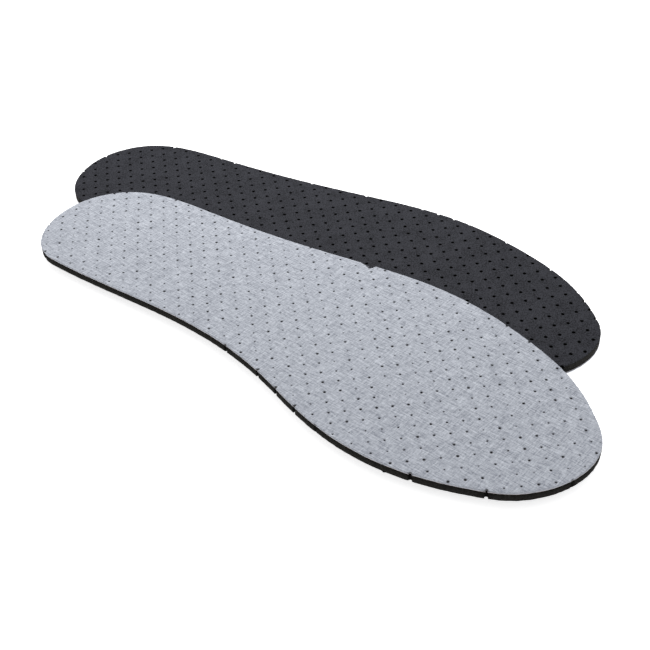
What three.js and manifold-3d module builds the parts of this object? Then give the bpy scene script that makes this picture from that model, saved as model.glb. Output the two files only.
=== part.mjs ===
// A pair of flat cushioned shoe insoles, one left and one right.
// Each insole is a laminate die-cut from one sheet: a woven cover, a bonding
// film and a foam cushion. The right insole lies turned over, cushion side
// up, and the left insole lies across it, cover side up.
// Millimetres, +Z up, toes towards +X.
import * as THREE from 'three';
import { mergeVertices } from 'three/addons/utils/BufferGeometryUtils.js';
import Module from 'manifold-3d';

const wasm = await Module();
wasm.setup();

// The layers of the laminate
const FOAM_THICKNESS = 3.1;
const FILM_THICKNESS = 0.1;
const COVER_THICKNESS = 0.6;

// The outline of one insole, as corners that a smooth closed curve passes
// through. A corner lies at a share of the length from the back of the heel
// and at a breadth across, outwards (lateral) positive, from the centre line
// that runs from the middle of the heel to the toe. The curve passes each
// corner at a heading in degrees from that line, inner (medial) side first.
const INSOLE_LENGTH = 267;
const HEEL_BACK = { along: 0.009, across: 13.6, heading: -113 };
const HEEL_INNER = { along: 0.1015, across: -31.5, heading: 1 };
const ARCH_INNER = { along: 0.601, across: -34.7, heading: -17 };
const TOE_INNER = { along: 0.9305, across: -28.6, heading: 27 };
const TOE_OUTER = { along: 0.9757, across: 18.1, heading: 134 };
const BALL_OUTER = { along: 0.8037, across: 44.5, heading: 164 };
const WAIST_OUTER = { along: 0.519, across: 47.3, heading: 191 };
const HEEL_OUTER = { along: 0.1984, across: 36.0, heading: 184 };
const CORNERS = [
  HEEL_BACK, HEEL_INNER, ARCH_INNER, TOE_INNER, TOE_OUTER, BALL_OUTER, WAIST_OUTER, HEEL_OUTER,
];
// How far a curve's handles reach, as a share of the span between corners
const HANDLE_REACH = 0.39;
const OUTLINE_STEPS = 200;

// The nick in the left insole's lateral edge
const NOTCH_FROM_HEEL = 137.5;
const NOTCH_WIDTH = 3.2;
const NOTCH_DEPTH = 1.6;
const NOTCH_CLEARANCE = 1;

// How the left insole lies on the right one
const LEFT_FORWARD = 28.6;
const LEFT_ASIDE = -42.7;
const LEFT_TURN = THREE.MathUtils.degToRad(-3.74);
const RESTING_GAP = 0.3;

const THICKNESS = FOAM_THICKNESS + FILM_THICKNESS + COVER_THICKNESS;

const MATERIALS = {
  cover: { color: 0xb9bdc8, roughness: 0.95, metalness: 0 },
  film: { color: 0xd9d7cf, roughness: 0.5, metalness: 0 },
  foam: { color: 0x2b2d31, roughness: 0.9, metalness: 0 },
};

// Points round the edge, evenly spaced. Side 1 is a left insole, with its
// outer side towards +Y, and side -1 is its mirror image.
function outlinePoints(side) {
  const corners = CORNERS.map(({ along, across, heading }) => {
    const angle = side * THREE.MathUtils.degToRad(heading);
    return {
      at: new THREE.Vector2(along * INSOLE_LENGTH, side * across),
      ahead: new THREE.Vector2(Math.cos(angle), Math.sin(angle)),
    };
  });
  const path = new THREE.Path().moveTo(corners[0].at.x, corners[0].at.y);
  corners.forEach((from, i) => {
    const to = corners[(i + 1) % corners.length];
    const reach = HANDLE_REACH * from.at.distanceTo(to.at);
    const leave = from.at.clone().addScaledVector(from.ahead, reach);
    const arrive = to.at.clone().addScaledVector(to.ahead, -reach);
    path.bezierCurveTo(leave.x, leave.y, arrive.x, arrive.y, to.at.x, to.at.y);
  });
  return path.getSpacedPoints(OUTLINE_STEPS).slice(0, -1);
}

// A sheet between two heights that follows the outline.
function sheet(points, bottom, top) {
  const shape = new THREE.Shape(points);
  const geometry = new THREE.ExtrudeGeometry(shape, { depth: 1, bevelEnabled: false });
  const position = geometry.attributes.position;
  for (let i = 0; i < position.count; i += 1) {
    position.setZ(i, position.getZ(i) > 0.5 ? top : bottom);
  }
  return geometry;
}

function toSolid(geometry) {
  const bare = geometry.clone();
  bare.deleteAttribute('normal');
  bare.deleteAttribute('uv');
  const merged = mergeVertices(bare);
  return new wasm.Manifold(new wasm.Mesh({
    numProp: 3,
    vertProperties: merged.attributes.position.array,
    triVerts: new Uint32Array(merged.index.array),
  }));
}

function toGeometry(solid) {
  const mesh = solid.getMesh();
  const geometry = new THREE.BufferGeometry();
  geometry.setAttribute('position', new THREE.BufferAttribute(mesh.vertProperties, mesh.numProp));
  geometry.setIndex(new THREE.BufferAttribute(mesh.triVerts, 1));
  return geometry;
}

// The V-shaped cutter for the nick, square to the outer edge.
function notchCutter(points) {
  const outer = points.filter((p) => p.y > 0);
  const miss = (p) => Math.abs(p.x - NOTCH_FROM_HEEL);
  const index = outer.reduce((best, p, i) => (miss(p) < miss(outer[best]) ? i : best), 0);
  const along = outer[index + 1].clone().sub(outer[index - 1]).normalize();
  const outward = new THREE.Vector2(along.y, -along.x);
  const at = (side, out) => outer[index].clone()
    .addScaledVector(along, side)
    .addScaledVector(outward, out);
  const mouth = (NOTCH_WIDTH / 2) * (1 + NOTCH_CLEARANCE / NOTCH_DEPTH);
  const shape = new THREE.Shape([
    at(0, -NOTCH_DEPTH),
    at(mouth, NOTCH_CLEARANCE),
    at(-mouth, NOTCH_CLEARANCE),
  ]);
  const depth = THICKNESS + 2 * NOTCH_CLEARANCE;
  return new THREE.ExtrudeGeometry(shape, { depth, bevelEnabled: false })
    .translate(0, 0, -NOTCH_CLEARANCE);
}

function layer(name, kind, geometry) {
  const mesh = new THREE.Mesh(geometry, new THREE.MeshStandardMaterial(MATERIALS[kind]));
  mesh.name = name;
  return mesh;
}

// One insole, sole side down at z = 0: foam, bonding film, cover.
function insole(prefix, side, notched) {
  const points = outlinePoints(side);
  const filmTop = FOAM_THICKNESS + FILM_THICKNESS;
  const layers = [
    ['foam', 'foam', 0, FOAM_THICKNESS],
    ['bond_film', 'film', FOAM_THICKNESS, filmTop],
    ['cover', 'cover', filmTop, THICKNESS],
  ];
  const group = new THREE.Group();
  for (const [name, kind, bottom, top] of layers) {
    let geometry = sheet(points, bottom, top);
    if (notched) {
      geometry = toGeometry(toSolid(geometry).subtract(toSolid(notchCutter(points))));
    }
    group.add(layer(`${prefix}_${name}`, kind, geometry));
  }
  return group;
}

function rightInsole() {
  const group = insole('right', -1, false);
  group.rotation.x = Math.PI;
  group.position.z = THICKNESS;
  return group;
}

function leftInsole() {
  const group = insole('left', 1, true);
  group.rotation.z = LEFT_TURN;
  group.position.set(LEFT_FORWARD, LEFT_ASIDE, THICKNESS + RESTING_GAP);
  return group;
}

// The origin is under the middle of the pair.
const pair = new THREE.Group();
pair.add(rightInsole(), leftInsole());
const middle = new THREE.Box3().setFromObject(pair, true).getCenter(new THREE.Vector3());
pair.position.set(-middle.x, -middle.y, 0);

export default pair;
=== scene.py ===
"""A pair of thin perforated shoe insoles: the right one lies face down, the left one lies across it.

Each insole is three bonded layers: a woven cover, a bonding film and a cushion foam. The layers are cut
from perforated sheets, so a row of holes that meets the outline leaves a nick in the edge.
"""
import math
import random

import bmesh
import bpy
from bpy.props import FloatProperty, FloatVectorProperty, IntProperty, PointerProperty
from mathutils import Matrix, Vector, noise


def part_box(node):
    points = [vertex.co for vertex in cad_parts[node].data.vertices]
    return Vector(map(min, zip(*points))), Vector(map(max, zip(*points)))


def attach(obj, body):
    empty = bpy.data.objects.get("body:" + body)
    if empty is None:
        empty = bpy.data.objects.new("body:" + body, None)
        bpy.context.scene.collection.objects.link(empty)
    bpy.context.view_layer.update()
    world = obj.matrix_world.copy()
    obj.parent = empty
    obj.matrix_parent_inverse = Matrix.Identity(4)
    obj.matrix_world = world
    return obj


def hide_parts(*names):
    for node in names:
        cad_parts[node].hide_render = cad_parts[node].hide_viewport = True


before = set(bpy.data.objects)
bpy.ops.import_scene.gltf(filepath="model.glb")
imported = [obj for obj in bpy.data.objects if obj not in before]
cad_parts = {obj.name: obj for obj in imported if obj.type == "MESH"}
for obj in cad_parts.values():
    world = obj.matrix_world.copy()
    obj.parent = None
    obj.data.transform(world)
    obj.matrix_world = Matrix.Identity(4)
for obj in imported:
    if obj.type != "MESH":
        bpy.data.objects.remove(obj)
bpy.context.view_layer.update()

bl_info = {
    "name": "Cushioned Insoles",
    "version": (1, 0, 0),
    "blender": (4, 5, 0),
    "location": "View3D > Sidebar > Insoles",
    "description": "Makes a pair of perforated insoles with a woven cover on cushion foam",
    "category": "Add Mesh",
}

MM = 0.001

# Each side's layers are named after the side. The left cover faces up, and the right one faces down.
SIDES = ("right", "left")
FACE_UP = {"right": False, "left": True}
LEFT_TURN = math.radians(-3.74)

# A hole's corners. A ring round it is inset a little, as a share of the holes' spacing, and then moved
# onto its circle. The outer, flat ring lies this many lip widths from the hole's edge.
CELL_SIDES = 12
RING_INSET = 0.05
FLAT_RING = 1.7

# How strongly the draw leans towards open holes in the cover. How much painted shade lies round a closed
# hole and on a layer's free face, as shares of the full painted shade inside an open hole.
OPEN_SKEW = 1.3
CLOSED_SHADE = 0.55
FREE_SHADE = 0.7

# Distances and angles that tell the parts of a shape apart.
WELD_DISTANCE = 0.001 * MM
CUTTER_SPARE = 0.02 * MM
FLAT_NORMAL = 0.5
SHARP_EDGE_ANGLE = math.radians(35)

# The die-cut wall: points added to each stretch of the outline, segments of the rounded rim, and how
# deep and how frequent its unevenness is. The layers share part of it, and the rest is each layer's own.
RIM_CUTS = 3
RIM_SEGMENTS = 3
CUT_DEPTH = 0.16 * MM
CUT_BEAT = 420.0
OWN_CUT_BEAT = 2.3
SHARED_CUT = 0.6
OWN_CUT = 0.4
LAYER_SHIFT = 50

# The nick in the left insole's far edge is torn back a little towards the heel.
NICK_PLACE = Vector((20.9 * MM, 17.6 * MM))
NICK_REACH = 3.4 * MM
NICK_DEPTH = 1.2 * MM

# Where the wave starts along and across the insoles, in radians, and its beat across as a share of its
# beat along.
WAVE_START = (0.6, -0.4)
WAVE_ACROSS = 0.8

# The weave: how often and how far, in millimetres, its yarns wander, how round they are, how far they go
# over and under each other, how often their streaks change along and across a yarn, and its relief.
WANDER_SCALE = 0.35
WANDER = 0.5
YARN_ROUND = 0.6
YARN_OVER = 0.4
STREAK_ALONG = 0.17
STREAK_ACROSS = 1.9
LONG_STREAK = (0.11, 1.3, 0.0)
CLOTH_RELIEF = 0.07 * MM
STREAK_RELIEF = 0.6

# The cloth's tone, from dark to light yarn: its middle, and how much each of its causes counts. The last
# two paint shade into the hollows between yarns and light onto their crests: how much, and the height left
# as it is.
TONE_MIDDLE = 0.52
YARN_TONE = 1.3
WARP_TONE = 0.9
WEFT_TONE = 0.5
SPECK_TONE = 0.7
LONG_TONE = 0.12
PATCH_TONE = 0.08
PAINTED_WEAVE_SHADE = 0.30
HEIGHT_MIDDLE = 0.55

# The cloth's cut edge: its middle tone, how much the fuzz counts in it, and its relief.
FUZZ_MIDDLE = 0.45
FUZZ_TONE = 1.3
FUZZ_RELIEF = 0.12 * MM

# The foam's darkest and palest tones, and the painted shade inside and round a hole, as shares of its
# colour.
# How much its mottling and its pores count in its tone, and the height of a pore that leaves the tone as
# it is.
FOAM_DARK = 0.30
FOAM_PALE = 1.70
FOAM_HOLE_SHADE = 0.12
FOAM_MOTTLE = 0.25
FOAM_PORES = 0.5
PORE_MIDDLE = 0.4
FOAM_ROUGHNESS = 0.84

# The film's palest tone, as a share of its colour, and its relief.
FILM_PALE = 1.15
FILM_RELIEF = 0.02 * MM
FILM_ROUGHNESS = 0.42

# How far the foam's and the film's roughness changes with their grain.
ROUGHNESS_SPREAD = 0.3

# The floor, and the unlit patches of it, which lie just above it under the insoles.
WHITE = (1.0, 1.0, 1.0)
BLACK = (0.0, 0.0, 0.0)
FLOOR_RADIUS = 4.0
FLOOR_SIDES = 64
FLOOR_GAP = 0.05 * MM
PATCH_MARGIN = {"right": 1.5 * MM, "left": 6.5 * MM}
PATCH_FADE = {"right": 1.0 * MM, "left": 8.0 * MM}
PATCH_LIFT = {"right": 0.012 * MM, "left": 0.006 * MM}

KEY_SIZE = 0.50
KEY_PLACE = (-0.14, 0.27, 0.36)
KEY_AIM = (-0.03, 0.0, 0.0)
NEAREST_SEEN = 0.01


class PunchSettings(bpy.types.PropertyGroup):
    """The grid of needle holes, which is stretched a little differently on each insole."""

    right_pitch: FloatVectorProperty(
        name="Right hole pitch", description="Distance from hole to hole along and across the rows",
        size=2, default=(5.63 * MM, 6.02 * MM), min=3 * MM, max=20 * MM, unit="LENGTH", subtype="XYZ")
    right_turn: FloatVectorProperty(
        name="Right row angles", description="Turn of the rows and of the columns of holes",
        size=2, default=(math.radians(49.1), math.radians(47.0)), unit="ROTATION", subtype="EULER")
    right_hole: FloatVectorProperty(
        name="Right hole", description="A hole of the right insole, seen from the middle of its box",
        size=2, default=(1.29 * MM, -0.81 * MM), unit="LENGTH", subtype="XYZ")
    left_pitch: FloatVectorProperty(
        name="Left hole pitch", description="Distance from hole to hole along and across the rows",
        size=2, default=(5.64 * MM, 5.52 * MM), min=3 * MM, max=20 * MM, unit="LENGTH", subtype="XYZ")
    left_turn: FloatVectorProperty(
        name="Left row angles", description="Turn of the rows and of the columns of holes",
        size=2, default=(math.radians(43.5), math.radians(44.1)), unit="ROTATION", subtype="EULER")
    left_hole: FloatVectorProperty(
        name="Left hole", description="A hole of the left insole, seen from the middle of its box",
        size=2, default=(1.03 * MM, 2.40 * MM), unit="LENGTH", subtype="XYZ")


class FoamSettings(bpy.types.PropertyGroup):
    """Sizes and colours of the cushion foam."""

    hole: FloatProperty(
        name="Hole diameter", description="Diameter of a needle hole in the foam",
        default=1.38 * MM, min=0.2 * MM, max=3 * MM, unit="LENGTH")
    lip: FloatProperty(
        name="Lip width", description="Width of the ring that the needle has pressed down round a hole",
        default=0.22 * MM, min=0.05 * MM, max=1 * MM, unit="LENGTH")
    dip: FloatProperty(
        name="Lip depth", description="How far the ring round a hole is pressed down",
        default=0.06 * MM, min=0, max=0.5 * MM, unit="LENGTH")
    rim: FloatProperty(
        name="Rim rounding", description="Rounding of the outer edge on the free face",
        default=0.22 * MM, min=0.05 * MM, max=1 * MM, unit="LENGTH")
    colour: FloatVectorProperty(
        name="Face colour", description="Colour of the skinned face", subtype="COLOR",
        default=(0.0205, 0.0210, 0.0250))
    cut_colour: FloatVectorProperty(
        name="Cut colour", description="Colour of the die-cut wall", subtype="COLOR",
        default=(0.0115, 0.0110, 0.0100))


class FilmSettings(bpy.types.PropertyGroup):
    """Sizes and colour of the film that bonds the cover to the foam."""

    hole: FloatProperty(
        name="Hole diameter", description="Diameter of a needle hole in the film",
        default=1.0 * MM, min=0.2 * MM, max=3 * MM, unit="LENGTH")
    colour: FloatVectorProperty(
        name="Film colour", description="Colour of the milky film", subtype="COLOR",
        default=(0.42, 0.37, 0.37))


class CoverSettings(bpy.types.PropertyGroup):
    """Sizes and colours of the woven cover."""

    open_hole: FloatProperty(
        name="Open hole diameter", description="Diameter of a needle hole that has stayed open",
        default=0.94 * MM, min=0.2 * MM, max=3 * MM, unit="LENGTH")
    closed_hole: FloatProperty(
        name="Closed hole diameter", description="Diameter of a needle hole that the yarns have closed",
        default=0.36 * MM, min=0.1 * MM, max=3 * MM, unit="LENGTH")
    lip: FloatProperty(
        name="Lip width", description="Width of the ring of yarns that the needle has pulled in",
        default=0.34 * MM, min=0.05 * MM, max=1 * MM, unit="LENGTH")
    dip: FloatProperty(
        name="Lip depth", description="How far the yarns round a hole are pulled in",
        default=0.12 * MM, min=0, max=0.5 * MM, unit="LENGTH")
    rim: FloatProperty(
        name="Rim rounding", description="Rounding of the outer edge on the free face",
        default=0.18 * MM, min=0.05 * MM, max=1 * MM, unit="LENGTH")
    seed: IntProperty(
        name="Hole seed", description="Seed of the order in which holes stay open or close",
        default=11, min=0)
    yarn: FloatProperty(
        name="Yarn spacing", description="Distance from yarn to yarn in the weave",
        default=0.42 * MM, min=0.1 * MM, max=3 * MM, unit="LENGTH")
    light_colour: FloatVectorProperty(
        name="Light yarn", description="Colour of the palest fibres", subtype="COLOR",
        default=(0.475, 0.50, 0.55))
    dark_colour: FloatVectorProperty(
        name="Dark yarn", description="Colour of the darkest fibres", subtype="COLOR",
        default=(0.135, 0.147, 0.18))
    # This near-black is painted shade, laid into and round each needle hole.
    hole_shade_colour: FloatVectorProperty(
        name="Punched colour", description="Colour of the fibres pressed into a hole", subtype="COLOR",
        default=(0.010, 0.010, 0.012))


class LieSettings(bpy.types.PropertyGroup):
    """How both insoles lie: one slight wave runs through all their layers."""

    wave_height: FloatProperty(
        name="Wave height", description="How far the highest place lies above the lowest",
        default=0.16 * MM, min=0, max=0.28 * MM, unit="LENGTH")
    wave_length: FloatProperty(
        name="Wave length", description="Distance from crest to crest along the insoles",
        default=96 * MM, min=40 * MM, max=500 * MM, unit="LENGTH")


class StageSettings(bpy.types.PropertyGroup):
    """The camera, the lights and the floor."""

    aim: FloatVectorProperty(
        name="Aim", description="Place on the floor that the camera looks at",
        size=2, default=(23.9 * MM, -16.6 * MM), unit="LENGTH", subtype="XYZ")
    distance: FloatProperty(
        name="Camera distance", description="Distance from the camera to its aim",
        default=430.1 * MM, min=0.1, unit="LENGTH")
    azimuth: FloatProperty(
        name="Azimuth", description="Direction that the camera looks in, from +Y towards -X",
        default=math.radians(38.58), unit="ROTATION", subtype="ANGLE")
    elevation: FloatProperty(
        name="Elevation", description="How steeply the camera looks down",
        default=math.radians(37.29), unit="ROTATION", subtype="ANGLE")
    roll: FloatProperty(
        name="Roll", description="Clockwise tilt of the camera about its line of sight",
        default=math.radians(2.58), unit="ROTATION", subtype="ANGLE")
    lens: FloatProperty(
        name="Lens", description="Focal length on a 36 mm sensor, in millimetres", default=60.04, min=10)
    key_power: FloatProperty(
        name="Key light", description="Power of the large soft light beyond the heels, in watts",
        default=2.9, min=0)
    sky_strength: FloatProperty(
        name="Sky light", description="Strength of the even white surroundings", default=0.66, min=0)
    floor_glow: FloatProperty(
        name="Floor glow", description="Light that the floor gives off, as a lit table does",
        default=0.70, min=0)
    floor_colour: FloatVectorProperty(
        name="Floor colour", description="Colour of the plain floor", subtype="COLOR",
        default=(0.93, 0.93, 0.93))


class InsoleSettings(bpy.types.PropertyGroup):
    """All settings of the pair."""

    punch: PointerProperty(type=PunchSettings, name="Holes", description="Grid of holes")
    foam: PointerProperty(type=FoamSettings, name="Foam", description="Cushion foam")
    film: PointerProperty(type=FilmSettings, name="Film", description="Bonding film")
    cover: PointerProperty(type=CoverSettings, name="Cover", description="Woven cover")
    lie: PointerProperty(type=LieSettings, name="Lie", description="How the insoles lie")
    stage: PointerProperty(type=StageSettings, name="Stage", description="Camera, lights and floor")


# ---- finishes -------------------------------------------------------------------------------------


class Wire:
    """An output socket whose arithmetic adds Math nodes to its tree."""

    def __init__(self, nodes, socket):
        self.nodes = nodes
        self.socket = socket

    def maths(self, operation, *values):
        """The Math node's result for this wire and other values."""
        inputs = dict(enumerate((self, *values)))
        return self.nodes.node("ShaderNodeMath", {"operation": operation}, inputs)

    def __add__(self, other):
        return self.maths("ADD", other)

    def __sub__(self, other):
        return self.maths("SUBTRACT", other)

    def __rsub__(self, other):
        return self.nodes.node("ShaderNodeMath", {"operation": "SUBTRACT"}, {0: other, 1: self})

    def __mul__(self, other):
        return self.maths("MULTIPLY", other)

    def __gt__(self, other):
        return self.maths("GREATER_THAN", other)

    def __abs__(self):
        return self.maths("ABSOLUTE")

    __radd__ = __add__
    __rmul__ = __mul__

    def larger(self, other):
        """The larger of two values."""
        return self.maths("MAXIMUM", other)

    def sine(self):
        """The sine of an angle."""
        return self.maths("SINE")

    def clipped(self):
        """The value held between 0 and 1."""
        return self.nodes.node(
            "ShaderNodeMath", {"operation": "ADD", "use_clamp": True}, {0: self, 1: 0.0})


class Nodes:
    """A node tree that starts empty and is given its nodes one at a time."""

    def __init__(self, tree):
        self.tree = tree
        self.tree.nodes.clear()

    def node(self, kind, settings=None, inputs=None, output=0):
        """Adds a node with its settings and its sockets' values or wires, and gives one output."""
        made = self.tree.nodes.new(kind)
        for key, value in (settings or {}).items():
            setattr(made, key, value)
        for key, value in (inputs or {}).items():
            self.connect(made.inputs[key], value)
        return Wire(self, made.outputs[output]) if made.outputs else None

    def connect(self, socket, value):
        """Links a wire to a socket, or sets the socket to a plain value."""
        if isinstance(value, Wire):
            self.tree.links.new(value.socket, socket)
        elif socket.type == "RGBA":
            socket.default_value = (*value[:3], 1.0)
        else:
            socket.default_value = value


class Finish(Nodes):
    """A material around one Principled shader."""

    def __init__(self, name, **constants):
        self.material = bpy.data.materials.new(name)
        self.material.use_nodes = True
        super().__init__(self.material.node_tree)
        surface = self.node("ShaderNodeBsdfPrincipled")
        self.node("ShaderNodeOutputMaterial", inputs={"Surface": surface})
        self.shader = surface.socket.node
        for key, value in constants.items():
            self.feed(key.replace("_", " ").title().replace("Ior", "IOR"), value)

    def feed(self, name, value):
        """Gives the shader's named socket a wire or a value."""
        self.connect(self.shader.inputs[name], value)

    def place(self, turn=0.0):
        """The object's own coordinates in millimetres, turned into the insole's length and width."""
        coordinates = self.node("ShaderNodeTexCoord", output="Object")
        return self.node("ShaderNodeMapping", inputs={
            "Vector": coordinates, "Rotation": (0.0, 0.0, -turn), "Scale": (1 / MM, 1 / MM, 1 / MM)})

    def stretched(self, place, stretch):
        """Coordinates scaled differently along each axis."""
        return self.node("ShaderNodeVectorMath", {"operation": "MULTIPLY"}, {0: place, 1: stretch})

    def noise(self, place, scale, detail=2.0, roughness=0.5):
        """Noise from about -0.5 to 0.5, around 0."""
        return self.node("ShaderNodeTexNoise", inputs={
            "Vector": place, "Scale": scale, "Detail": detail, "Roughness": roughness}) - 0.5

    def mix(self, share, first, second):
        """A colour between two colours."""
        return self.node(
            "ShaderNodeMix", {"data_type": "RGBA"}, {"Factor": share, 6: first, 7: second}, output=2)

    def bump(self, height, depth):
        """A normal bent by a height from 0 to 1, which stands for a depth in metres."""
        return self.node("ShaderNodeBump", inputs={"Height": height, "Distance": depth}, output="Normal")

    def attribute(self, name):
        """A value stored on the piece's vertices."""
        return self.node("ShaderNodeAttribute", {"attribute_name": name}, output="Fac")


def woven_finish(name, settings, turn):
    """A heathered plain weave whose warp runs along the insole and whose weft runs across it."""
    finish = Finish(name, roughness=0.86, sheen_weight=0.22, sheen_roughness=0.5, specular_ior_level=0.3)
    place = finish.place(turn)
    along = finish.node("ShaderNodeSeparateXYZ", inputs={"Vector": place}, output="X")
    across = finish.node("ShaderNodeSeparateXYZ", inputs={"Vector": place}, output="Y")

    # A little wander keeps the yarns from running dead straight.
    wander = finish.noise(place, WANDER_SCALE) * WANDER
    beat = math.pi / (settings.yarn / MM)
    warp_side = ((across + wander) * beat).sine()
    weft_side = ((along + wander) * beat).sine()
    crossing = warp_side * weft_side
    warp_height = abs(warp_side) * YARN_ROUND + crossing * YARN_OVER
    weft_height = abs(weft_side) * YARN_ROUND - crossing * YARN_OVER
    warp_on_top = warp_height > weft_height

    # Each yarn is spun from pale and dark fibres, so it changes tone in short streaks along its run.
    warp_place = finish.stretched(place, (STREAK_ALONG, STREAK_ACROSS, 0.0))
    weft_place = finish.stretched(place, (STREAK_ACROSS, STREAK_ALONG, 0.0))
    warp_streak = finish.noise(warp_place, scale=1.0, roughness=0.7)
    weft_streak = finish.noise(weft_place, scale=1.0, roughness=0.7)
    long_streak = finish.noise(finish.stretched(place, LONG_STREAK), scale=1.0, detail=1.0)
    streak = warp_on_top * warp_streak + (1 - warp_on_top) * weft_streak
    patch = finish.noise(place, scale=0.05, detail=1.0)
    speck = finish.noise(place, scale=1.3, detail=1.0)
    height = warp_height.larger(weft_height)
    tone = TONE_MIDDLE + streak * YARN_TONE + warp_streak * WARP_TONE + weft_streak * WEFT_TONE
    tone = tone + speck * SPECK_TONE + long_streak * LONG_TONE + patch * PATCH_TONE
    # Painted shade and light: the hollows between the yarns are drawn darker and their crests lighter.
    tone = tone + (height - HEIGHT_MIDDLE) * PAINTED_WEAVE_SHADE
    woven = finish.mix(tone.clipped(), settings.dark_colour, settings.light_colour)

    # Painted shade: the fibres in and round each hole are darkened towards near-black, deepest inside an
    # open hole.
    punched = finish.attribute("punched")
    finish.feed("Base Color", finish.mix(punched.clipped(), woven, settings.hole_shade_colour))
    finish.feed("Normal", finish.bump(height + streak * STREAK_RELIEF, CLOTH_RELIEF))
    return finish.material


def woven_edge_finish(name, settings):
    """The cut edge of the cover: a thin fuzz of fibre ends."""
    finish = Finish(name, roughness=0.92, sheen_weight=0.25, sheen_roughness=0.5, specular_ior_level=0.25)
    place = finish.place()
    fuzz = finish.noise(place, scale=3.2, detail=3.0, roughness=0.7)
    tone = (FUZZ_MIDDLE + fuzz * FUZZ_TONE).clipped()
    fibres = finish.mix(tone, settings.dark_colour, settings.light_colour)
    # Painted shade darkens the cover's cut wall inside and round each hole.
    punched = finish.attribute("punched")
    finish.feed("Base Color", finish.mix(punched.clipped(), fibres, settings.hole_shade_colour))
    finish.feed("Normal", finish.bump(fuzz, FUZZ_RELIEF))
    return finish.material


def foam_finish(name, colour, pore_scale, contrast, depth):
    """Fine closed-cell foam: soft mottling over small pores."""
    finish = Finish(name, specular_ior_level=0.05)
    place = finish.place()
    grain = finish.noise(place, scale=1.6, detail=4.0, roughness=0.65)
    mottle = finish.noise(place, scale=0.16)
    pores = finish.node("ShaderNodeTexVoronoi", {"feature": "F1"}, {"Vector": place, "Scale": pore_scale})
    tone = 0.5 + grain * contrast + mottle * FOAM_MOTTLE * contrast
    tone = (tone + (pores - PORE_MIDDLE) * FOAM_PORES * contrast).clipped()
    dark = [FOAM_DARK * channel for channel in colour]
    pale = [FOAM_PALE * channel for channel in colour]
    shaded_foam = [FOAM_HOLE_SHADE * channel for channel in colour]
    # Painted shade: the foam is darkened inside and round each hole.
    punched = finish.attribute("punched").clipped()
    finish.feed("Base Color", finish.mix(punched, finish.mix(tone, dark, pale), shaded_foam))
    finish.feed("Roughness", FOAM_ROUGHNESS + grain * ROUGHNESS_SPREAD)
    finish.feed("Normal", finish.bump(pores + grain, depth))
    return finish.material


def film_finish(name, colour):
    """Milky hot-melt film, a little glossy where it shows at an edge."""
    finish = Finish(name, specular_ior_level=0.5)
    place = finish.place()
    cloud = finish.noise(place, scale=0.9, detail=3.0)
    pale = [min(1.0, FILM_PALE * channel) for channel in colour]
    finish.feed("Base Color", finish.mix((0.5 + cloud).clipped(), colour, pale))
    finish.feed("Roughness", FILM_ROUGHNESS + cloud * ROUGHNESS_SPREAD)
    finish.feed("Normal", finish.bump(cloud, FILM_RELIEF))
    return finish.material


def floor_finish(name, stage):
    """The plain matt floor, which glows as a lit table does except where it is unlit."""
    finish = Finish(name, roughness=0.9, specular_ior_level=0.1)
    finish.feed("Base Color", stage.floor_colour)
    unlit = finish.attribute("unlit")
    finish.feed("Emission Color", finish.mix(unlit, WHITE, BLACK))
    finish.feed("Emission Strength", stage.floor_glow)
    return finish.material


# ---- shapes ---------------------------------------------------------------------------------------


class HoleGrid:
    """The needle holes of one insole, by column and row, and the outline that they are cut to."""

    def __init__(self, side):
        punch = bpy.context.scene.insoles.punch
        low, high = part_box(side + "_cover")
        middle = (low + high) / 2
        first = getattr(punch, side + "_hole")
        pitch = getattr(punch, side + "_pitch")
        turn = getattr(punch, side + "_turn")
        self.side = side
        self.turn = sum(turn) / 2
        self.spread = max(pitch)
        self.matrix = Matrix((
            (pitch[0] * math.cos(turn[0]), -pitch[1] * math.sin(turn[1]), 0.0, middle.x + first[0]),
            (pitch[0] * math.sin(turn[0]), pitch[1] * math.cos(turn[1]), 0.0, middle.y + first[1]),
            (0.0, 0.0, 1.0, 0.0),
            (0.0, 0.0, 0.0, 1.0)))
        self.back = self.matrix.inverted()

    def centre(self, key):
        """The place of a hole, given its column and row."""
        return self.matrix @ Vector((*key, 0.0))

    def nearest(self, point):
        """The column and row of the hole nearest to a point, and the distance to it."""
        local = self.back @ Vector((point.x, point.y, 0.0))
        key = (round(local.x), round(local.y))
        return key, (self.centre(key).xy - point.xy).length

    def reach(self, low, high):
        """How many cells lie between the first hole and the farthest corner of a box."""
        corners = [self.back @ Vector((x, y, 0.0)) for x in (low.x, high.x) for y in (low.y, high.y)]
        return math.ceil(max(abs(value) for corner in corners for value in corner.xy)) + 1


def openness(grid, settings):
    """How far each hole of a cover has stayed open, from 0 to 1: fully where it meets the outline."""
    draw = random.Random(f"{grid.side} {settings.seed}")
    low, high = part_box(grid.side + "_cover")
    reach = grid.reach(low, high)
    outline = die(grid.side + "_cover", low, high, 0.0, True)
    rim = [edge for edge in outline.edges if all(vert.co.z < low.z for vert in edge.verts)]
    rim = [[vert.co.copy() for vert in edge.verts] for edge in rim]
    outline.free()
    shares = {}
    for column in range(-reach, reach + 1):
        for row in range(-reach, reach + 1):
            place = grid.centre((column, row))
            place.z = rim[0][0].z
            shares[column, row] = 1 - draw.random() ** OPEN_SKEW
            if any((start - place).length < settings.open_hole for start, end in rim):
                shares[column, row] = 1.0
    return shares


def round_off(cell, centre, radius, turn):
    """Moves the corners of a cell's inner face onto a circle round its hole."""
    step = 2 * math.pi / CELL_SIDES
    for vert in cell.verts:
        offset = vert.co - centre
        angle = math.atan2(offset.y, offset.x) - turn
        angle = (math.floor(angle / step) + 0.5) * step + turn
        vert.co = centre + radius * Vector((math.cos(angle), math.sin(angle), 0.0))


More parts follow.
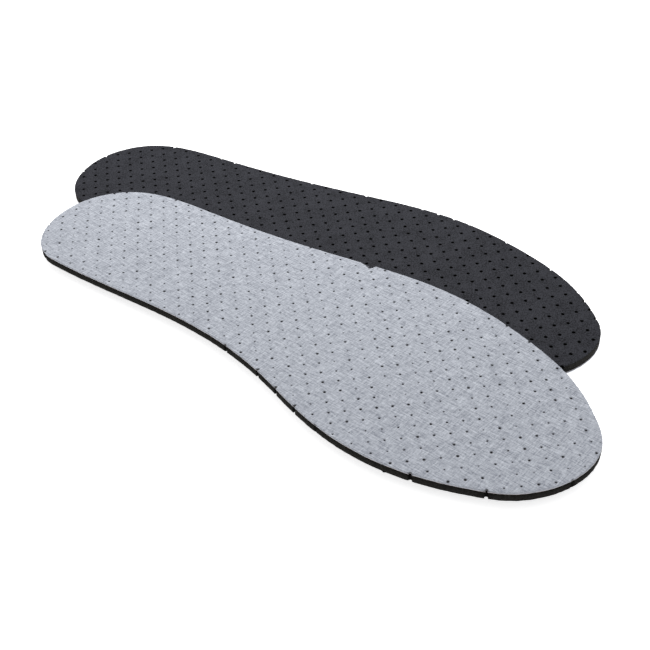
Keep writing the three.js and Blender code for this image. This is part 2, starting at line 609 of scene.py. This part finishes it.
def perforated_sheet(grid, low, high, hole_radius, lip):
    """A flat sheet that covers a layer's box, with a round hole in the middle of each cell of its grid."""
    reach = grid.reach(low, high)
    cells_across = 2 * reach + 1
    sheet = bmesh.new()
    bmesh.ops.create_grid(
        sheet, x_segments=cells_across, y_segments=cells_across, size=cells_across / 2)
    bmesh.ops.transform(sheet, matrix=grid.matrix, verts=sheet.verts)
    outside = [
        face for face in sheet.faces
        if not (low.x - grid.spread < face.calc_center_median().x < high.x + grid.spread
                and low.y - grid.spread < face.calc_center_median().y < high.y + grid.spread)]
    bmesh.ops.delete(sheet, geom=outside, context="FACES")
    bmesh.ops.subdivide_edges(sheet, edges=sheet.edges, cuts=CELL_SIDES // 4 - 1)
    cells = list(sheet.faces)
    keys = [grid.nearest(cell.calc_center_median())[0] for cell in cells]
    # The outer ring stays flat, so the shading of the pressed lip ends there.
    for ring in ((FLAT_RING * lip, lip, 0.0) if lip else (0.0,)):
        bmesh.ops.inset_individual(sheet, faces=cells, thickness=RING_INSET * grid.spread)
        for cell, key in zip(cells, keys):
            round_off(cell, grid.centre(key), hole_radius(key) + ring, grid.turn)
    bmesh.ops.delete(sheet, geom=cells, context="FACES")
    bmesh.ops.translate(sheet, vec=(0, 0, low.z), verts=sheet.verts)
    raised = bmesh.ops.extrude_face_region(sheet, geom=sheet.faces, use_keep_orig=True)["geom"]
    raised = [part for part in raised if isinstance(part, bmesh.types.BMVert)]
    bmesh.ops.translate(sheet, vec=(0, 0, high.z - low.z), verts=raised)
    bmesh.ops.recalc_face_normals(sheet, faces=sheet.faces)
    return sheet


def ragged(place, layer_shift):
    """How far the die-cut wall stands out or in at a place: mostly alike in all layers, partly its own."""
    shared = noise.noise(place * CUT_BEAT)
    own = noise.noise((place + Vector((0, 0, layer_shift))) * CUT_BEAT * OWN_CUT_BEAT)
    torn = max(0.0, 1 - ((place.xy - NICK_PLACE).length / NICK_REACH) ** 2)
    return CUT_DEPTH * (SHARED_CUT * shared + OWN_CUT * own) - NICK_DEPTH * torn


def die(node, low, high, rim, free_up):
    """The cutting die of a layer: its outline, slightly ragged, with a rounded rim on the free side."""
    shape = bmesh.new()
    shape.from_mesh(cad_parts[node].data)
    bmesh.ops.remove_doubles(shape, verts=shape.verts, dist=WELD_DISTANCE)
    level = [
        edge for edge in shape.edges
        if len(edge.link_faces) == 2 and all(abs(face.normal.z) > FLAT_NORMAL for face in edge.link_faces)]
    bmesh.ops.dissolve_edges(shape, edges=level)
    middle = (low.z + high.z) / 2
    rings = [edge for edge in shape.edges if len({vert.co.z > middle for vert in edge.verts}) == 1]
    bmesh.ops.subdivide_edges(shape, edges=rings, cuts=RIM_CUTS)
    shape.normal_update()
    layer_shift = high.z * LAYER_SHIFT
    for vert in shape.verts:
        outward = vert.normal.xy.normalized()
        depth = ragged(Vector((vert.co.x, vert.co.y, 0.0)), layer_shift)
        vert.co += Vector((outward.x * depth, outward.y * depth, 0.0))
        vert.co.z += CUTTER_SPARE if vert.co.z > middle else -CUTTER_SPARE
    free = [
        edge for edge in shape.edges
        if all((vert.co.z > middle) == free_up for vert in edge.verts)]
    if rim:
        bmesh.ops.bevel(
            shape, geom=free, offset=rim, segments=RIM_SEGMENTS, profile=0.5, affect="EDGES",
            material=-1)
    bmesh.ops.recalc_face_normals(shape, faces=shape.faces)
    return shape


def floor_patch(side, level):
    """The floor under an insole, whose glow fades away from the edge inwards, so the holes stay dark."""
    shape = bmesh.new()
    shape.from_mesh(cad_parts[side + "_foam"].data)
    bmesh.ops.remove_doubles(shape, verts=shape.verts, dist=WELD_DISTANCE)
    raised = [face for face in shape.faces if face.normal.z > -FLAT_NORMAL]
    bmesh.ops.delete(shape, geom=raised, context="FACES")
    edges = [edge for edge in shape.edges if len(edge.link_faces) == 2]
    bmesh.ops.dissolve_edges(shape, edges=edges)
    # The patch passes the nick by.
    nick = [vert for vert in shape.verts if (vert.co.xy - NICK_PLACE).length < NICK_REACH]
    bmesh.ops.dissolve_verts(shape, verts=nick)
    border = bmesh.ops.inset_region(
        shape, faces=shape.faces, thickness=PATCH_MARGIN[side], use_boundary=True)["faces"]
    bmesh.ops.delete(shape, geom=border, context="FACES")
    bmesh.ops.inset_region(shape, faces=shape.faces, thickness=PATCH_FADE[side], use_boundary=True)
    bmesh.ops.reverse_faces(shape, faces=shape.faces)
    unlit = shape.verts.layers.float.new("unlit")
    for vert in shape.verts:
        vert[unlit] = 0.0 if vert.is_boundary else 1.0
        vert.co.z = level
    return shape


def as_object(name, shape):
    """A new object at the origin that holds a finished shape."""
    mesh = bpy.data.meshes.new(name)
    shape.to_mesh(mesh)
    shape.free()
    piece = bpy.data.objects.new(name, mesh)
    bpy.context.collection.objects.link(piece)
    return piece


def cut_out(sheet, cutter):
    """Cuts a sheet with a die and leaves the cut piece's mesh on the sheet's object."""
    cutting = sheet.modifiers.new("die", "BOOLEAN")
    cutting.operation = "INTERSECT"
    cutting.solver = "MANIFOLD"
    cutting.object = cutter
    graph = bpy.context.evaluated_depsgraph_get()
    blank = sheet.data
    sheet.data = bpy.data.meshes.new_from_object(sheet.evaluated_get(graph))
    sheet.data.name = sheet.name
    sheet.modifiers.clear()
    bpy.data.meshes.remove(blank)
    bpy.data.meshes.remove(cutter.data)
    if not sheet.data.polygons:
        raise RuntimeError(sheet.name + ": the die cut nothing out of the sheet")


def wave(point):
    """The height of the slight wave that runs through all layers, never below the floor."""
    lie = bpy.context.scene.insoles.lie
    beat = 2 * math.pi / lie.wave_length
    along = math.sin(beat * point.x + WAVE_START[0])
    across = math.cos(WAVE_ACROSS * beat * point.y + WAVE_START[1])
    return lie.wave_height * (1 + along * across) / 2


def press_and_lay(piece, grid, hole_radius, lip, dip, free_up, shade):
    """Presses the ring round each hole in, records the painted shade in and round each hole, and gives the
    layer its wave.
    """
    mesh = piece.data
    heights = [vert.co.z for vert in mesh.vertices]
    middle = (min(heights) + max(heights)) / 2
    punched = []
    for vert in mesh.vertices:
        key, distance = grid.nearest(vert.co)
        share = 0.0
        if lip and distance < hole_radius(key) + lip:
            share = min(1.0, (hole_radius(key) + lip - distance) / lip)
        free = (vert.co.z > middle) == free_up
        punched.append(share * shade(key) * (FREE_SHADE if free else 1.0))
        lift = wave(vert.co)
        if free:
            lift -= dip * share if free_up else -dip * share
        vert.co.z += lift
    # The stored value is painted shade: full inside a hole, fading out over the lip.
    stored = mesh.attributes.new("punched", "FLOAT", "POINT")
    stored.data.foreach_set("value", punched)


def finish_faces(piece, face_finish, cut_finish):
    """Smooths a layer, and gives its flat faces and its cut walls their finishes."""
    mesh = piece.data
    mesh.materials.clear()
    mesh.materials.append(face_finish)
    mesh.materials.append(cut_finish)
    for face in mesh.polygons:
        face.material_index = 0 if abs(face.normal.z) > FLAT_NORMAL else 1
    mesh.shade_smooth()
    mesh.set_sharp_from_angle(angle=SHARP_EDGE_ANGLE)


def layer(side, part, hole_radius, lip=0.0, dip=0.0, rim=0.0, shade=lambda key: 1.0):
    """One perforated layer of an insole, cut to its outline and laid in its place."""
    node = f"{side}_{part}"
    grid = HoleGrid(side)
    low, high = (Vector(corner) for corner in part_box(node))
    free_up = FACE_UP[side] if part == "cover" else not FACE_UP[side]
    piece = as_object(node + "_layer", perforated_sheet(grid, low, high, hole_radius, lip))
    cutter = as_object(node + "_die", die(node, low, high, rim, free_up))
    cut_out(piece, cutter)
    press_and_lay(piece, grid, hole_radius, lip, dip, free_up, shade)
    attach(piece, side + "_insole")
    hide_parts(node)
    return piece


# ---- operators ------------------------------------------------------------------------------------


class AddFoams(bpy.types.Operator):
    """Adds the cushion foam of both insoles"""

    bl_idname = "insoles.add_foams"
    bl_label = "Cushion foams"

    def execute(self, context):
        foam = context.scene.insoles.foam
        face = foam_finish(
            "cushion_foam_face", foam.colour, pore_scale=2.4, contrast=3.4, depth=0.05 * MM)
        cut = foam_finish(
            "cushion_foam_cut", foam.cut_colour, pore_scale=1.5, contrast=1.3, depth=0.22 * MM)
        for side in SIDES:
            piece = layer(side, "foam", lambda key: foam.hole / 2, foam.lip, foam.dip, foam.rim)
            finish_faces(piece, face, cut)
        return {"FINISHED"}


class AddFilms(bpy.types.Operator):
    """Adds the bonding film of both insoles"""

    bl_idname = "insoles.add_films"
    bl_label = "Bonding films"

    def execute(self, context):
        film = context.scene.insoles.film
        milky = film_finish("bonding_film", film.colour)
        for side in SIDES:
            piece = layer(side, "bond_film", lambda key: film.hole / 2)
            finish_faces(piece, milky, milky)
        return {"FINISHED"}


class AddCovers(bpy.types.Operator):
    """Adds the woven cover of both insoles"""

    bl_idname = "insoles.add_covers"
    bl_label = "Woven covers"

    def execute(self, context):
        cover = context.scene.insoles.cover
        edge = woven_edge_finish("woven_cover_edge", cover)
        for side in SIDES:
            self.add_cover(cover, side, edge)
        return {"FINISHED"}

    @staticmethod
    def add_cover(cover, side, edge):
        """Adds one cover, whose holes have closed by different amounts."""
        open_share = openness(HoleGrid(side), cover)

        def hole_radius(key):
            return (cover.closed_hole + (cover.open_hole - cover.closed_hole) * open_share[key]) / 2

        def shade(key):
            return CLOSED_SHADE + (1 - CLOSED_SHADE) * open_share[key]

        piece = layer(side, "cover", hole_radius, cover.lip, cover.dip, cover.rim, shade)
        turn = LEFT_TURN if side == "left" else 0.0
        finish_faces(piece, woven_finish(f"woven_cover_{side}", cover, turn), edge)


class AddStage(bpy.types.Operator):
    """Adds the floor, the soft light and the camera"""

    bl_idname = "insoles.add_stage"
    bl_label = "Stage"

    def execute(self, context):
        stage = context.scene.insoles.stage
        self.add_floor(stage)
        self.add_lights(stage)
        self.add_camera(stage)
        return {"FINISHED"}

    @staticmethod
    def add_floor(stage):
        """A wide plain floor just under the insoles, and the unlit patch of it under each of them."""
        shape = bmesh.new()
        bmesh.ops.create_circle(shape, cap_ends=True, segments=FLOOR_SIDES, radius=FLOOR_RADIUS)
        bmesh.ops.translate(shape, vec=(0, 0, -FLOOR_GAP), verts=shape.verts)
        floor = as_object("floor", shape)
        finish = floor_finish("lit_floor", stage)
        floor.data.materials.append(finish)
        for side in SIDES:
            patch = as_object(side + "_floor_patch", floor_patch(side, PATCH_LIFT[side] - FLOOR_GAP))
            patch.data.materials.append(finish)

    @staticmethod
    def add_lights(stage):
        """Even white surroundings, and one large soft light beyond the heels."""
        world = bpy.data.worlds.new("soft_sky")
        world.use_nodes = True
        nodes = Nodes(world.node_tree)
        sky = nodes.node("ShaderNodeBackground", inputs={"Color": WHITE, "Strength": stage.sky_strength})
        # Beyond the floor's edge the backdrop is as white as the floor.
        backdrop = nodes.node("ShaderNodeBackground", inputs={"Color": WHITE})
        seen = nodes.node("ShaderNodeLightPath", output="Is Camera Ray")
        either = nodes.node("ShaderNodeMixShader", inputs={"Fac": seen, 1: sky, 2: backdrop})
        nodes.node("ShaderNodeOutputWorld", inputs={"Surface": either})
        bpy.context.scene.world = world
        lamp = bpy.data.lights.new("key_light", "AREA")
        lamp.shape = "DISK"
        lamp.size = KEY_SIZE
        lamp.energy = stage.key_power
        key = bpy.data.objects.new("key_light", lamp)
        key.location = KEY_PLACE
        key.rotation_euler = (Vector(KEY_AIM) - Vector(KEY_PLACE)).to_track_quat("-Z", "Y").to_euler()
        bpy.context.collection.objects.link(key)

    @staticmethod
    def add_camera(stage):
        """A camera that looks down across the pair, from beyond the left insole's toe."""
        view = (
            Matrix.Translation((stage.aim[0], stage.aim[1], 0.0))
            @ Matrix.Rotation(stage.azimuth, 4, "Z")
            @ Matrix.Rotation(math.pi / 2 - stage.elevation, 4, "X")
            @ Matrix.Rotation(-stage.roll, 4, "Z")
            @ Matrix.Translation((0.0, 0.0, stage.distance)))
        lens = bpy.data.cameras.new("camera")
        lens.lens = stage.lens
        lens.clip_start = NEAREST_SEEN
        camera = bpy.data.objects.new("camera", lens)
        camera.matrix_world = view
        bpy.context.collection.objects.link(camera)
        bpy.context.scene.camera = camera
        bpy.context.scene.view_settings.view_transform = "Standard"


class InsolePanel(bpy.types.Panel):
    """Lists the insoles' operators in the sidebar"""

    bl_idname = "VIEW3D_PT_insoles"
    bl_label = "Insoles"
    bl_space_type = "VIEW_3D"
    bl_region_type = "UI"
    bl_category = "Insoles"

    def draw(self, context):
        for operator in OPERATORS:
            self.layout.operator(operator.bl_idname)


OPERATORS = (AddStage, AddFoams, AddFilms, AddCovers)
CLASSES = (
    PunchSettings, FoamSettings, FilmSettings, CoverSettings, LieSettings, StageSettings, InsoleSettings,
    *OPERATORS, InsolePanel)


def register():
    """Registers the settings, the operators and the panel."""
    for each in CLASSES:
        bpy.utils.register_class(each)
    bpy.types.Scene.insoles = PointerProperty(type=InsoleSettings)


def unregister():
    """Takes everything that register() added away again."""
    del bpy.types.Scene.insoles
    for each in reversed(CLASSES):
        bpy.utils.unregister_class(each)


def main():
    """Builds the pair and its stage."""
    register()
    bpy.ops.insoles.add_stage()
    bpy.ops.insoles.add_foams()
    bpy.ops.insoles.add_films()
    bpy.ops.insoles.add_covers()


if __name__ == "__main__":
    main()
